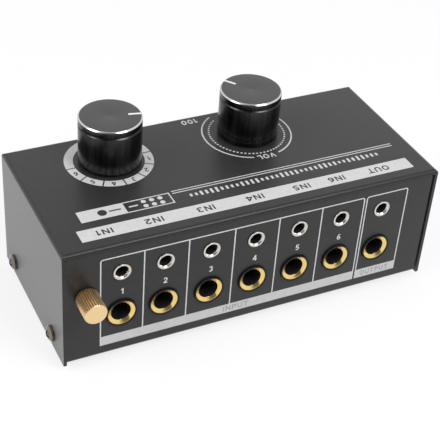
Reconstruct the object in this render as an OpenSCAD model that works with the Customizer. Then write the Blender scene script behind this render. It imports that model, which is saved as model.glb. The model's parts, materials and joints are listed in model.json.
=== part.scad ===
// Audio source selector: a folded steel case with seven pairs of jacks along one panel,
// a six-way rotary switch and a volume control hung from the top, and a ground post.
// In the case's own frame x runs along the jack panel, y goes inwards from the panel's
// front face and z goes up from the lower edges of the side walls. Sizes are millimetres.

/* [Case] */
// Mean distance from the outermost jack axes to the ends of the case
panel_margin = 21.9; // [21.5:0.1:30]
// Height of the case's top above the small jacks' axes
top_margin = 12; // [10.5:0.5:20]
// Distance from the knobs' axes to the user-side face
knob_back = 18.6; // [15.5:0.1:25]
// Thickness of the sheet steel
sheet = 1.2; // [0.8:0.1:1.6]
// Inner radius of the sheet's bends
bend_in = 0.3; // [0.2:0.1:2]
// Gap between the jack panel's left end and the cover's left wall
left_gap = 0.1; // [0.1:0.1:0.8]
// Gap between the jack panel's right end and the cover's right wall
right_gap = 1.1; // [0.1:0.1:1.3]
// Gap between the jack panel's upper edge and the lip of the cover's top
top_gap = 0.1; // [0.1:0.1:0.8]
// Height of the chassis floor's underside above the cover's lower edges
floor_lift = 0.8; // [0.5:0.1:2]

/* [Feet] */
// Radius of a rubber foot
foot_r = 4; // [3:0.5:8]
// Height of the cover's lower edges above the table
foot_h = 2.5; // [2:0.1:4]
// Distance from a foot's axis to the nearest two sides of the case
foot_inset = 10; // [8:0.5:20]

/* [Screws] */
// Radius of the screw shanks
screw_r = 1.5; // [1:0.1:2]
// Radius of the pan screw heads
head_r = 3.05; // [2.3:0.05:3.5]
// Height of the screw heads
head_h = 2.4; // [1.4:0.1:2.6]
// Distance of the side screws from the jack panel and from the user-side face
screw_inset = 11.7; // [8:0.1:16]
// Height of the side screws above the cover's lower edges
screw_z = 6.3; // [6:0.1:8]
// Reach of the chassis' screw tabs past the screw axis
tab_reach = 5.5; // [4:0.5:8]

/* [Jack rows] */
// Distance between neighbouring jack columns
jack_pitch = 17.7; // [16.5:0.1:25]
// Distance between the first two columns, which leaves room for the ground post
first_pitch = 16.3; // [16.3:0.1:20]
// Place of the middle column along the case
row_shift = -1.7; // [-2:0.1:2]
// Height of the small jacks' axes above the large ones
row_pitch = 18.4; // [17.5:0.1:26]

/* [Large jacks] */
// Radius of the socket's bore, for 6.35 mm plugs
jack_bore_r = 3.3; // [3.2:0.05:3.5]
// Radius of the gilt ferrule's rim
ferrule_r = 5.2; // [4.9:0.1:5.6]
// Wall of the plastic nose around the rim
nose_wall = 0.6; // [0.4:0.1:1]
// How far the nose stands out of the panel
nose_out = 0.8; // [0.5:0.1:3]
// Width of the jack body
jack_w = 15; // [13:0.5:16]
// Height of the jack body
jack_h = 15; // [13:0.5:17]
// Depth of the jack body behind the panel
jack_d = 25; // [20:0.5:32]

/* [Small jacks] */
// Radius of the socket's bore, for 3.5 mm plugs
mini_bore_r = 1.8; // [1.78:0.01:1.9]
// Radius of the nickel bushing
mini_bush_r = 3.3; // [3:0.1:3.6]
// How far the bushing stands out of the panel
mini_out = 0.5; // [0.2:0.1:2]
// Width of the jack body
mini_w = 12; // [9:0.5:14]
// Height of the jack body
mini_h = 10; // [8.5:0.5:12]
// Depth of the jack body behind the panel
mini_d = 13; // [11:0.5:20]

/* [Boards] */
// Thickness of the circuit boards
board_t = 1.6; // [1:0.1:2]
// Length of the spacers that stand on the chassis
floor_spacer_h = 7.9; // [6:0.1:14]
// Circumradius of the hexagonal spacers
spacer_r = 2.9; // [2.4:0.1:3.5]

/* [Knobs] */
// Radius of a knob
knob_r = 11.8; // [10.5:0.1:14]
// Height of a knob's top above the case
knob_top = 19.6; // [17.5:0.1:25]
// Gap between a knob and the case
knob_lift = 0.6; // [0.3:0.1:2]
// Wall of a knob's aluminium shell
knob_wall = 1.5; // [1:0.1:2]
// Width of the bright bevel around a knob's top
bevel = 0.5; // [0.4:0.1:1.5]
// Radius of both control shafts
shaft_r = 3; // [2.5:0.1:3.2]

/* [Selector switch] */
// Place of the selector's axis along the case
selector_x = -39.3; // [-45:0.1:-30]
// Number of inputs the switch chooses from
positions = 6; // [2:1:12]
// Angle between neighbouring positions
step_angle = 30; // [30]
// Direction of the pointer at position 1, about +Z from +X
selector_rest = -12; // [-20:1:0]
// Radius of the switch body
switch_r = 12.5; // [11.5:0.1:13.5]
// Height of the switch housing
housing_h = 11.8; // [11:0.1:16]

/* [Volume control] */
// Place of the volume control's axis along the case
volume_x = 17.7; // [10:0.1:26]
// Direction of the pointer as photographed, about +Z from +X
volume_rest = 127; // [122:1:135]
// Radius of the control's can
pot_r = 8.5; // [8:0.1:10]
// Depth of the control's can
pot_h = 9.5; // [8:0.1:14]

/* [Ground post] */
// Distance of the post outside the first jack column
ground_dx = 13.2; // [11.5:0.1:14]
// Height of the post above the large jacks' axes
ground_dz = 11.3; // [8:0.1:14]
// Radius of the threaded stud
stud_r = 2; // [1.5:0.1:2.5]
// Radius of the thumb nut
nut_r = 4.2; // [3.6:0.1:5]
// Distance from the panel to the thumb nut's end
nut_reach = 10.4; // [8:0.1:14]
// Number of knurls around the thumb nut
knurls = 30; // [24:1:48]

/* [Hidden] */
$fn = 64;
// Clearances: parts that seat, shafts that turn, parts that pass each other, holes for fasteners
seat = 0.05;
run = 0.04;
clear = 0.3;
hole = 0.15;
// Overshoot of the cuts
cut = 1;

columns = ["1", "2", "3", "4", "5", "6", "out"];
last_column = len(columns) - 1;
function even_x(i) = row_shift + (i - last_column / 2) * jack_pitch;
function column_x(i) = i == 0 ? even_x(1) - first_pitch : even_x(i);
edge_column = last_column / 2 * jack_pitch;

// The stack from the floor up
floor_top = floor_lift + sheet;
jack_board_z = floor_top + floor_spacer_h;
jack_floor_z = jack_board_z + board_t;
jack_z = jack_floor_z + jack_h / 2;
mini_z = jack_z + row_pitch;
mini_floor_z = mini_z - mini_h / 2;
mini_board_z = mini_floor_z - board_t;
case_h = mini_z + top_margin;

// The stack from the panel inwards
board_front = 6.5;
board_rim = 0.8;
pin_row_gap = 2;
pin_row_y = sheet + jack_d + pin_row_gap;
spacer_gap = 0.4;
spacer_y = sheet + jack_d + board_rim + spacer_r + spacer_gap;
board_back = spacer_y + spacer_r + board_rim;
switch_room = 1.8;
knob_y = board_back + switch_room + switch_r;
case_d = knob_y + knob_back;

// The case's outlines
case_w = 2 * (edge_column + panel_margin);
inner_w = case_w - 2 * sheet;
panel_w = inner_w - left_gap - right_gap;
panel_mid = (left_gap - right_gap) / 2;
bend_out = bend_in + sheet;
lip_straight = 0.3;
lip_z = case_h - bend_out - lip_straight;
panel_top = lip_z - top_gap;
panel_corner = 0.8;
panel_y = (nut_reach - case_d) / 2;
board_end = 1.2;
board_w = 2 * (edge_column + jack_w / 2 + board_end);
outer_spacer = board_w / 2 - board_rim - spacer_r;
spacer_x = [-outer_spacer, -jack_pitch / 2, jack_pitch / 2, outer_spacer];
tab_top = screw_z + tab_reach;
tab_in = 2 * sheet + max(left_gap, right_gap);
screw_grip = 3;

// Large jack details
nose_r = ferrule_r + nose_wall;
rim_t = 1;
rim_recess = 0.3;
rim_face = 0.15;
sleeve_wall = 0.9;
sleeve_r = jack_bore_r + sleeve_wall;
sleeve_past = 4.4;
sleeve_d = sheet + sleeve_past;
jack_front_t = 4;
jack_shell = 1.2;
dish_d = 0.75;
lead_in = 0.4;

// Small jack details
mini_front_t = 3;
mini_shell = 1;
mini_bush_past = 4.5;
mini_bush_d = sheet + mini_bush_past;
mini_lip = 0.45;
mini_mouth_d = 0.7;
mini_mouth_rim = 0.5;
mini_mouth_r = mini_bore_r + mini_mouth_rim;
mini_dish_d = 1.6;

// Contact springs
spring_t = 0.4;
spring_w = 3;
spring_bump = 0.9;

// Knob details
groove_drop = 2.5;
groove_d = 0.45;
pointer_w = 1.1;
pointer_d = 0.2;
pointer_in = 6.6;
knob_hollow_r = knob_r - knob_wall;
cap_t = 1.5;
shaft_room = 2;
shaft_top = knob_top - cap_t - shaft_room;
flat_depth = 1;

// Parts under the knobs, from the top face of the case upwards
bush_h = 6;
switch_bush_r = 4.5;
pot_bush_r = 3.5;
washer_t = 0.5;
nut_t = 2;
nut_across = 1.35;
nut_rim = 0.8;
washer_rim = 1;
insert_gap = 0.3;
insert_z = bush_h + clear + insert_gap;

// Switch details, from the top face of the case downwards
plate_t = 1.2;
plate_under = -sheet - plate_t;
wafer_top = plate_under - housing_h;
wafer_t = 1.6;
terminal_h = 4;
terminal_r = 0.5;
terminal_inset = 3;
terminal_ring = switch_r - terminal_inset;
common_ring = terminal_ring / 2;
pad_r = 1.1;
pad_h = 0.4;
terminal_tip = wafer_top - wafer_t - terminal_h;
blade_t = 0.5;
blade_z = wafer_top + pad_h + clear;
carrier_z = blade_z + blade_t;
carrier_t = 2;
carrier_rim = 3;
hub_wall = 1.6;
cam_share = 0.56;
cam_r = switch_r * cam_share;
cam_t = 4;
cam_gap = 1.4;
cam_z = carrier_z + carrier_t + cam_gap;
notch_r = 1.4;
ball_r = 1.25;
ball_gap = 0.15;
ball_at = cam_r + ball_gap + ball_r;
housing_wall = 1.5;
detent_z = cam_z + cam_t / 2;
detent_angle = 90;
leaf_t = 0.4;
leaf_w = 2.8;
leaf_l = 7.6;
cage_w = 8;
cage_h = 4.8;

// Volume control details, from the top face of the case downwards
can_wall = 0.6;
track_t = 1.2;
track_under = plate_under - track_t;
tab_w = 11;
tab_out = 4;
lug_pitch = 4;
lug_past = 2;
lug_at = pot_r + lug_past;
lug_h = 4;
lug_r = 0.5;
pot_blade_z = track_under - clear - blade_t;
pot_carrier_t = 2;
pot_carrier_gap = 1;
pot_carrier_r = pot_r - 2 * can_wall - pot_carrier_gap;
wiper_eye = 1.2;
can_bottom = plate_under - pot_h;

// Wiring details
ribbon_t = 1;
ribbon_drop = 6;
ribbon_bend = 2.2;
selector_ribbon_w = 11;
volume_ribbon_w = 8;
ribbon_inset = 2;
ribbon_y = board_back - ribbon_inset;
pin_w = 0.64;
pin_pitch = 2.54;

// Ground post details
ground_x = column_x(0) - ground_dx;
ground_z = jack_z + ground_dz;
collar_t = 0.5;
collar_rim = 1;
collar_r = stud_r + collar_rim;
ground_washer_t = 0.4;
ground_washer_in = 0.5;
ground_washer_r = nut_r - ground_washer_in;
lock_nut_t = 2.6;
lock_nut_across = 1.75;
lock_nut_r = stud_r * lock_nut_across;
stud_past = 0.8;
stud_in = sheet + lock_nut_t + stud_past;
washer_face = collar_t + ground_washer_t;
nut_base = washer_face + seat;
nut_end_t = 1;
stud_room = 0.8;
stud_out = nut_reach - nut_end_t - stud_room;
knurl_d = 0.4;
nut_chamfer = 0.4;

steel_black = [0.13, 0.13, 0.135];
nickel = [0.78, 0.77, 0.74];
gilt = [0.87, 0.68, 0.3];
brass = [0.8, 0.62, 0.36];
plastic_black = [0.05, 0.05, 0.055];
anodised = [0.09, 0.09, 0.095];
board_green = [0.08, 0.32, 0.2];
phenolic = [0.5, 0.3, 0.14];
rubber = [0.07, 0.07, 0.07];
wire_grey = [0.55, 0.56, 0.58];

// Places

// From the case's own frame to the part's: on the feet, centred with the thumb nut counted
module case_frame() {
    translate([0, panel_y, foot_h]) children();
}

// On a control's axis, with z counted from the top face of the case
module on_top(x) {
    case_frame() translate([x, knob_y, case_h]) children();
}

// On a point of the jack panel, with z running inwards
module on_panel(x, z) {
    case_frame() translate([x, 0, z]) rotate([-90, 0, 0]) children();
}

// At each side screw, with z running outwards from the wall's outer face
module at_side_screws() {
    for (side = [-1, 1], y = [screw_inset, case_d - screw_inset])
        translate([side * case_w / 2, y, screw_z]) rotate([0, side * 90, 0]) children();
}

// At each spacer's axis
module at_spacers(z) {
    for (x = spacer_x) translate([row_shift + x, spacer_y, z]) children();
}

// Shapes

// Outline with two round upper corners, its lower left corner at the origin
module arch(w, h, r) {
    square([w, h - r]);
    translate([r, 0]) square([w - 2 * r, h]);
    for (x = [r, w - r]) translate([x, h - r]) circle(r);
}

// Sheet bent along two parallel edges, open below
module bent_sheet(w, h) {
    difference() {
        arch(w, h, bend_out);
        translate([sheet, -cut]) arch(w - 2 * sheet, h - sheet + cut, bend_in);
    }
}

// An outline of y and z, drawn out along x from its middle
module along_x(w) {
    translate([-w / 2, 0, 0]) rotate([90, 0, 90]) linear_extrude(w) children();
}

// An outline of x and z, drawn out along y from the panel's face
module along_y(d) {
    translate([0, d, 0]) rotate([90, 0, 0]) linear_extrude(d) children();
}

// Tube or washer
module ring(r_out, r_in, h) {
    difference() {
        cylinder(r = r_out, h = h);
        translate([0, 0, -cut]) cylinder(r = r_in, h = h + 2 * cut);
    }
}

// Cut for a hole through the sheet whose outer face is at z = 0
module sheet_hole(r) {
    translate([0, 0, -cut]) cylinder(r = r + hole, h = sheet + 2 * cut);
}

// Pan head on z = 0 with a cross recess, its shank going down
module pan_screw(shank_l) {
    dome_h = head_h * 0.55;
    dome_r = (head_r * head_r + dome_h * dome_h) / (2 * dome_h);
    recess_w = head_r * 0.3;
    recess_l = head_r * 1.15;
    difference() {
        union() {
            intersection() {
                cylinder(r = head_r, h = head_h);
                translate([0, 0, head_h - dome_r]) sphere(dome_r);
            }
            translate([0, 0, -shank_l]) cylinder(r = screw_r, h = shank_l + head_h / 3);
        }
        for (a = [0, 90]) rotate([0, 0, a])
            translate([-recess_l / 2, -recess_w / 2, head_h * 0.45]) cube([recess_l, recess_w, head_h]);
    }
}

// A shaft's section with its flat on the +X side, grown by a clearance
module d_section(grow) {
    intersection() {
        circle(shaft_r + grow);
        translate([-2 * shaft_r, -2 * shaft_r]) square([3 * shaft_r - flat_depth + grow, 4 * shaft_r]);
    }
}

// Control shaft from z0 up to its top, with the flat above the bushing
module control_shaft(z0) {
    translate([0, 0, z0]) cylinder(r = shaft_r, h = insert_z - z0);
    translate([0, 0, insert_z]) linear_extrude(shaft_top - insert_z) d_section(0);
}

// Mounting plate with a bored bushing that goes up through the top of the case
module bushing(plate_r, bush_r) {
    difference() {
        union() {
            translate([0, 0, plate_under]) cylinder(r = plate_r, h = plate_t);
            translate([0, 0, -sheet - plate_t / 2]) cylinder(r = bush_r, h = bush_h + sheet + plate_t / 2);
        }
        translate([0, 0, plate_under - cut])
            cylinder(r = shaft_r + run, h = bush_h - plate_under + 2 * cut);
    }
}

// Case

// Floor, jack panel and user-side panel in one folded sheet
module chassis() {
    color(steel_black) difference() {
        case_frame() {
            intersection() {
                translate([panel_mid, 0, panel_top]) mirror([0, 0, 1])
                    along_x(panel_w) bent_sheet(case_d, panel_top - floor_lift);
                translate([panel_mid - panel_w / 2, 0, 0])
                    along_y(case_d) arch(panel_w, panel_top, panel_corner);
            }
            // Tabs bent up from the floor take the side screws
            for (side = [-1, 1], y = [screw_inset, case_d - screw_inset])
                translate([panel_mid + side * (panel_w - sheet) / 2 - sheet / 2, y - tab_reach, floor_lift])
                    cube([sheet, 2 * tab_reach, tab_top - floor_lift]);
        }
        case_frame() at_side_screws()
            translate([0, 0, -tab_in - cut]) cylinder(r = screw_r + seat, h = tab_in + cut);
        case_frame() at_spacers(floor_lift) sheet_hole(screw_r);
        for (i = [0 : last_column]) {
            on_panel(column_x(i), jack_z) sheet_hole(nose_r);
            on_panel(column_x(i), mini_z) sheet_hole(mini_bush_r);
        }
        on_panel(ground_x, ground_z) sheet_hole(stud_r);
    }
}

// Top, both side walls and a short lip over each panel in one folded sheet
module cover() {
    color(steel_black) difference() {
        case_frame() intersection() {
            translate([-case_w / 2, 0, 0]) along_y(case_d) arch(case_w, case_h, bend_out);
            along_x(case_w) arch(case_d, case_h, bend_out);
        }
        // Room inside, up to the top and out to the lips
        case_frame() translate([0, 0, -cut]) intersection() {
            translate([-inner_w / 2, 0, 0]) along_y(case_d) arch(inner_w, case_h - sheet + cut, bend_in);
            along_x(case_w) translate([sheet, 0]) arch(case_d - 2 * sheet, case_h - sheet + cut, bend_in);
        }
        // Open ends below the lips
        case_frame() translate([-inner_w / 2, -cut, -cut]) cube([inner_w, case_d + 2 * cut, lip_z + cut]);
        case_frame() at_side_screws() mirror([0, 0, 1]) sheet_hole(screw_r);
        on_top(selector_x) mirror([0, 0, 1]) sheet_hole(switch_bush_r);
        on_top(volume_x) mirror([0, 0, 1]) sheet_hole(pot_bush_r);
    }
}

module side_screws() {
    color(nickel) case_frame() at_side_screws() pan_screw(2 * sheet + screw_grip);
}

module feet() {
    length = foot_h + floor_lift;
    color(rubber) for (sx = [-1, 1], y = [foot_inset, case_d - foot_inset])
        translate([sx * (case_w / 2 - foot_inset), panel_y + y, 0]) {
            cylinder(r1 = foot_r * 0.85, r2 = foot_r, h = length * 0.25);
            translate([0, 0, length * 0.25]) cylinder(r = foot_r, h = length * 0.75);
        }
}

// Boards

module board_screws() {
    color(nickel) case_frame() {
        at_spacers(floor_lift) mirror([0, 0, 1]) pan_screw(sheet + floor_spacer_h / 2 - clear);
        at_spacers(mini_floor_z) pan_screw(board_t + screw_grip);
    }
}

module floor_spacers() {
    color(brass) case_frame() at_spacers(floor_top) difference() {
        cylinder(r = spacer_r, h = floor_spacer_h, $fn = 6);
        translate([0, 0, -cut]) cylinder(r = screw_r + seat, h = floor_spacer_h + 2 * cut);
    }
}

module board_spacers() {
    length = mini_board_z - jack_floor_z;
    stud = board_t + floor_spacer_h / 2 - clear;
    color(brass) case_frame() at_spacers(jack_floor_z) difference() {
        union() {
            cylinder(r = spacer_r, h = length, $fn = 6);
            translate([0, 0, -stud]) cylinder(r = screw_r, h = stud + board_t);
        }
        translate([0, 0, length - screw_grip - clear])
            cylinder(r = screw_r + seat, h = screw_grip + clear + cut);
    }
}

module board(z) {
    color(board_green) case_frame() difference() {
        translate([row_shift - board_w / 2, board_front, z])
            cube([board_w, board_back - board_front, board_t]);
        at_spacers(z - cut) cylinder(r = screw_r + hole, h = board_t + 2 * cut);
    }
}

// Pin rows that carry the small jacks' signals down to the large jacks' board
module board_pins() {
    color(gilt) case_frame() for (i = [0 : last_column], k = [-1 : 1])
        translate([column_x(i) + k * pin_pitch - pin_w / 2, pin_row_y - pin_w / 2, jack_floor_z])
            cube([pin_w, pin_w, mini_board_z - jack_floor_z]);
}

// Large jacks

module jack_body(i) {
    color(plastic_black) on_panel(column_x(i), jack_z) difference() {
        union() {
            translate([-jack_w / 2, -jack_h / 2, sheet]) cube([jack_w, jack_h, jack_d]);
            translate([0, 0, -nose_out]) cylinder(r = nose_r, h = nose_out + sheet + jack_shell);
        }
        // Seat of the ferrule's rim and sleeve
        translate([0, 0, -nose_out - cut]) cylinder(r = ferrule_r + seat, h = rim_t + rim_recess + cut);
        translate([0, 0, -nose_out - cut])
            cylinder(r = sleeve_r + seat, h = nose_out + sheet + jack_d + 2 * cut);
        // Room for the contact springs, open towards the board
        translate([-jack_w / 2 + jack_shell, -jack_h / 2 + jack_shell, sheet + jack_front_t])
            cube([jack_w - 2 * jack_shell, jack_h, jack_d - jack_front_t - jack_shell]);
    }
}

module jack_ferrule(i) {
    rim_y = -nose_out + rim_recess;
    mouth_r = ferrule_r - rim_face;
    color(gilt) on_panel(column_x(i), jack_z) difference() {
        union() {
            translate([0, 0, rim_y]) cylinder(r = ferrule_r, h = rim_t);
            translate([0, 0, rim_y]) cylinder(r = sleeve_r, h = sleeve_d - rim_y);
        }
        translate([0, 0, rim_y - cut]) cylinder(r = jack_bore_r, h = sleeve_d - rim_y + 2 * cut);
        // A dished face, then a slight lead-in as deep as the panel
        translate([0, 0, rim_y]) cylinder(r1 = mouth_r, r2 = jack_bore_r + lead_in, h = dish_d);
        translate([0, 0, rim_y + dish_d])
            cylinder(r1 = jack_bore_r + lead_in, r2 = jack_bore_r, h = sheet + clear - rim_y - dish_d);
    }
}

// One upright contact: a leg from the board with a round bump that meets the plug
module contact(bore_r, axis_h, over) {
    leg_x = bore_r + spring_bump;
    translate([0, spring_w / 2, 0]) rotate([90, 0, 0]) linear_extrude(spring_w) {
        translate([leg_x, 0]) square([spring_t, axis_h + over]);
        intersection() {
            translate([leg_x, axis_h]) circle(spring_bump);
            translate([leg_x - spring_bump, 0]) square([spring_bump + spring_t / 2, 2 * axis_h]);
        }
    }
}

module jack_springs() {
    first = sheet + jack_front_t + spring_w;
    pitch = (jack_d - jack_front_t - jack_shell - 2 * spring_w) / 2;
    color(nickel) case_frame() for (i = [0 : last_column], k = [0 : 2])
        translate([column_x(i), first + k * pitch, jack_floor_z]) mirror([k % 2, 0, 0])
            contact(jack_bore_r, jack_h / 2, spring_bump * 2);
}

// Small jacks

module mini_jack_body(i) {
    color(plastic_black) on_panel(column_x(i), mini_z) difference() {
        translate([-mini_w / 2, -mini_h / 2, sheet]) cube([mini_w, mini_h, mini_d]);
        translate([0, 0, sheet - cut]) cylinder(r = mini_bush_r + seat, h = mini_bush_d - sheet + cut);
        translate([0, 0, sheet - cut]) cylinder(r = mini_bore_r + spring_t, h = mini_d + 2 * cut);
        translate([-mini_w / 2 + mini_shell, -mini_h / 2 + mini_shell, mini_bush_d])
            cube([mini_w - 2 * mini_shell, mini_h, mini_d - mini_bush_d + sheet - mini_shell]);
    }
}

module mini_jack_bushings() {
    color(nickel) for (i = [0 : last_column]) on_panel(column_x(i), mini_z) difference() {
        translate([0, 0, -mini_out]) cylinder(r = mini_bush_r, h = mini_out + mini_bush_d);
        translate([0, 0, -mini_out - cut]) cylinder(r = mini_bore_r, h = mini_out + mini_bush_d + 2 * cut);
        // A short mouth, then a lead-in that ends behind the panel
        translate([0, 0, -mini_out])
            cylinder(r1 = mini_bush_r - mini_lip, r2 = mini_mouth_r, h = mini_mouth_d);
        translate([0, 0, mini_mouth_d - mini_out])
            cylinder(r1 = mini_mouth_r, r2 = mini_bore_r, h = mini_out + mini_dish_d - mini_mouth_d);
    }
}

module mini_jack_springs() {
    reach = mini_d + sheet - mini_shell - mini_bush_d;
    color(nickel) case_frame() for (i = [0 : last_column], k = [0, 1])
        translate([column_x(i), mini_bush_d + reach * (1 + 2 * k) / 4, mini_floor_z]) mirror([k, 0, 0])
            contact(mini_bore_r, mini_h / 2, spring_bump);
}

// Selector switch

module switch_bushing() {
    color(nickel) on_top(selector_x) bushing(switch_r, switch_bush_r);
}

// The cup, with a cage inside that holds the detent ball and its leaf
module switch_housing() {
    inner_r = switch_r - housing_wall;
    color(plastic_black) on_top(selector_x) difference() {
        union() {
            translate([0, 0, wafer_top]) ring(switch_r, inner_r, housing_h);
            rotate([0, 0, detent_angle]) intersection() {
                translate([cam_r + clear, -cage_w / 2, detent_z - cage_h / 2])
                    cube([switch_r - cam_r, cage_w, cage_h]);
                translate([0, 0, wafer_top]) cylinder(r = switch_r - housing_wall / 2, h = housing_h);
            }
        }
        rotate([0, 0, detent_angle]) translate([0, 0, detent_z]) {
            rotate([0, 90, 0]) cylinder(r = ball_r + seat, h = ball_at + ball_r);
            translate([ball_at + ball_r, -cage_w / 2 - cut, -leaf_w / 2 - seat])
                cube([leaf_t + clear, cage_w + 2 * cut, leaf_w + 2 * seat]);
        }
    }
}

// Shaft, detent cam and contact carrier in one moulding
module switch_rotor() {
    notches = round(360 / step_angle);
    hub_r = shaft_r + hub_wall;
    color(nickel) on_top(selector_x) rotate([0, 0, selector_rest]) {
        control_shaft(plate_under - clear);
        translate([0, 0, carrier_z]) cylinder(r = hub_r, h = plate_under - clear - carrier_z);
        translate([0, 0, carrier_z]) cylinder(r = common_ring + carrier_rim, h = carrier_t);
        translate([0, 0, cam_z]) difference() {
            cylinder(r = cam_r, h = cam_t);
            for (k = [0 : notches - 1]) rotate([0, 0, detent_angle - selector_rest + k * step_angle])
                translate([cam_r + notch_r / 2, 0, -cut]) cylinder(r = notch_r, h = cam_t + 2 * cut);
        }
    }
}

// Two-armed blade under the carrier
module switch_wiper() {
    arm_w = 2.4;
    color(brass) on_top(selector_x) rotate([0, 0, selector_rest]) translate([0, 0, blade_z]) {
        translate([-terminal_ring - pad_r, -arm_w / 2, 0])
            cube([2 * (terminal_ring + pad_r), arm_w, blade_t]);
        cylinder(r = common_ring, h = blade_t);
    }
}

module at_terminals() {
    for (k = [0 : 2 * positions - 1]) rotate([0, 0, selector_rest + k * 180 / positions])
        translate([terminal_ring, 0, 0]) children();
    for (a = [0, 180]) rotate([0, 0, selector_rest + 90 + a]) translate([common_ring, 0, 0]) children();
}

module switch_wafer() {
    color(phenolic) on_top(selector_x) translate([0, 0, wafer_top - wafer_t]) difference() {
        cylinder(r = switch_r, h = wafer_t);
        translate([0, 0, -cut]) at_terminals() cylinder(r = terminal_r + seat, h = wafer_t + 2 * cut);
    }
}

module switch_terminals() {
    color(nickel) on_top(selector_x) at_terminals() {
        translate([0, 0, wafer_top]) cylinder(r = pad_r, h = pad_h);
        translate([0, 0, terminal_tip]) cylinder(r = terminal_r, h = wafer_top - terminal_tip + pad_h / 2);
    }
}

module detent_ball() {
    color(nickel) on_top(selector_x) rotate([0, 0, detent_angle])
        translate([ball_at, 0, detent_z]) sphere(ball_r);
}

module detent_spring() {
    color(nickel) on_top(selector_x) rotate([0, 0, detent_angle])
        translate([ball_at + ball_r + seat, -leaf_l / 2, detent_z - leaf_w / 2])
            cube([leaf_t, leaf_l, leaf_w]);
}

// Washers and nuts that hold both controls to the top

module bushing_washers() {
    color(nickel) {
        on_top(selector_x) ring(switch_bush_r * nut_across + washer_rim, switch_bush_r + hole, washer_t);
        on_top(volume_x) ring(pot_bush_r * nut_across + washer_rim, pot_bush_r + hole, washer_t);
    }
}

module hex_nut(bush_r) {
    translate([0, 0, washer_t]) difference() {
        cylinder(r = bush_r * nut_across + nut_rim, h = nut_t, $fn = 6);
        translate([0, 0, -cut]) cylinder(r = bush_r + seat, h = nut_t + 2 * cut);
    }
}

module bushing_nuts() {
    color(nickel) {
        on_top(selector_x) hex_nut(switch_bush_r);
        on_top(volume_x) hex_nut(pot_bush_r);
    }
}

// Volume control

module pot_bushing() {
    color(nickel) on_top(volume_x) bushing(pot_r, pot_bush_r);
}

// The can, open above, with a slot for the track's tab
module pot_can() {
    color(nickel) on_top(volume_x) difference() {
        translate([0, 0, can_bottom]) cylinder(r = pot_r, h = pot_h);
        translate([0, 0, can_bottom + can_wall]) cylinder(r = pot_r - can_wall, h = pot_h);
        translate([-tab_w / 2 - clear, -pot_r - cut, track_under - clear])
            cube([tab_w + 2 * clear, pot_r, track_t + clear + cut]);
    }
}

module pot_track() {
    color(phenolic) on_top(volume_x) translate([0, 0, track_under]) difference() {
        union() {
            cylinder(r = pot_r - can_wall - seat, h = track_t);
            translate([-tab_w / 2, -pot_r - tab_out, 0]) cube([tab_w, pot_r + tab_out, track_t]);
        }
        translate([0, 0, -cut]) cylinder(r = shaft_r + clear, h = track_t + 2 * cut);
        for (k = [-1 : 1]) translate([k * lug_pitch, -lug_at, -cut])
            cylinder(r = lug_r + seat, h = track_t + 2 * cut);
    }
}

module pot_terminals() {
    color(nickel) on_top(volume_x) for (k = [-1 : 1])
        translate([k * lug_pitch, -lug_at, track_under - lug_h]) cylinder(r = lug_r, h = lug_h + track_t);
}

module pot_shaft() {
    color(nickel) on_top(volume_x) rotate([0, 0, volume_rest]) {
        control_shaft(can_bottom + can_wall + clear);
        translate([0, 0, pot_blade_z - pot_carrier_t])
            cylinder(r = pot_carrier_r, h = pot_carrier_t);
    }
}

// Blade on top of the carrier, reaching under the track
module pot_wiper() {
    arm_w = 2.4;
    color(brass) on_top(volume_x) rotate([0, 0, volume_rest]) translate([0, 0, pot_blade_z]) difference() {
        union() {
            translate([0, -arm_w / 2, 0]) cube([pot_carrier_r, arm_w, blade_t]);
            cylinder(r = shaft_r + wiper_eye, h = blade_t);
        }
        translate([0, 0, -cut]) cylinder(r = shaft_r + seat, h = blade_t + 2 * cut);
    }
}

// Knobs

// Turned shell with a bevelled top, a thin groove below it and a pointer cut into the top
module knob(rest) {
    foot_chamfer = 0.3;
    groove_z = knob_top - bevel - groove_drop;
    color(anodised) rotate([0, 0, rest]) difference() {
        rotate_extrude() polygon([
            [knob_hollow_r, knob_lift],
            [knob_r - foot_chamfer, knob_lift],
            [knob_r, knob_lift + foot_chamfer],
            [knob_r, groove_z - groove_d],
            [knob_r - groove_d, groove_z],
            [knob_r, groove_z + groove_d],
            [knob_r, knob_top - bevel],
            [knob_r - bevel, knob_top],
            [0, knob_top],
            [0, knob_top - cap_t],
            [knob_hollow_r, knob_top - cap_t]]);
        translate([pointer_in, -pointer_w / 2, knob_top - pointer_d]) cube([knob_r, pointer_w, cut]);
    }
}

// Moulded core that grips the shaft
module knob_insert(rest) {
    color(plastic_black) rotate([0, 0, rest]) difference() {
        translate([0, 0, insert_z]) cylinder(r = knob_hollow_r - seat, h = knob_top - cap_t - insert_z);
        translate([0, 0, insert_z - cut]) linear_extrude(shaft_top + clear - insert_z + cut) d_section(seat);
    }
}

module selector_knob() {
    on_top(selector_x) knob(selector_rest);
}

module selector_knob_insert() {
    on_top(selector_x) knob_insert(selector_rest);
}

module volume_knob() {
    on_top(volume_x) knob(volume_rest);
}

module volume_knob_insert() {
    on_top(volume_x) knob_insert(volume_rest);
}

// Ground post

module ground_stud() {
    color(brass) on_panel(ground_x, ground_z) {
        translate([0, 0, -stud_out]) cylinder(r = stud_r, h = stud_out + stud_in);
        translate([0, 0, -collar_t]) cylinder(r = collar_r, h = collar_t);
    }
}

module ground_lock_nut() {
    color(brass) on_panel(ground_x, ground_z) translate([0, 0, sheet]) difference() {
        cylinder(r = lock_nut_r, h = lock_nut_t, $fn = 6);
        translate([0, 0, -cut]) cylinder(r = stud_r + seat, h = lock_nut_t + 2 * cut);
    }
}

module ground_washer() {
    color(nickel) on_panel(ground_x, ground_z)
        translate([0, 0, -washer_face]) ring(ground_washer_r, stud_r + run, ground_washer_t);
}

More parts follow.
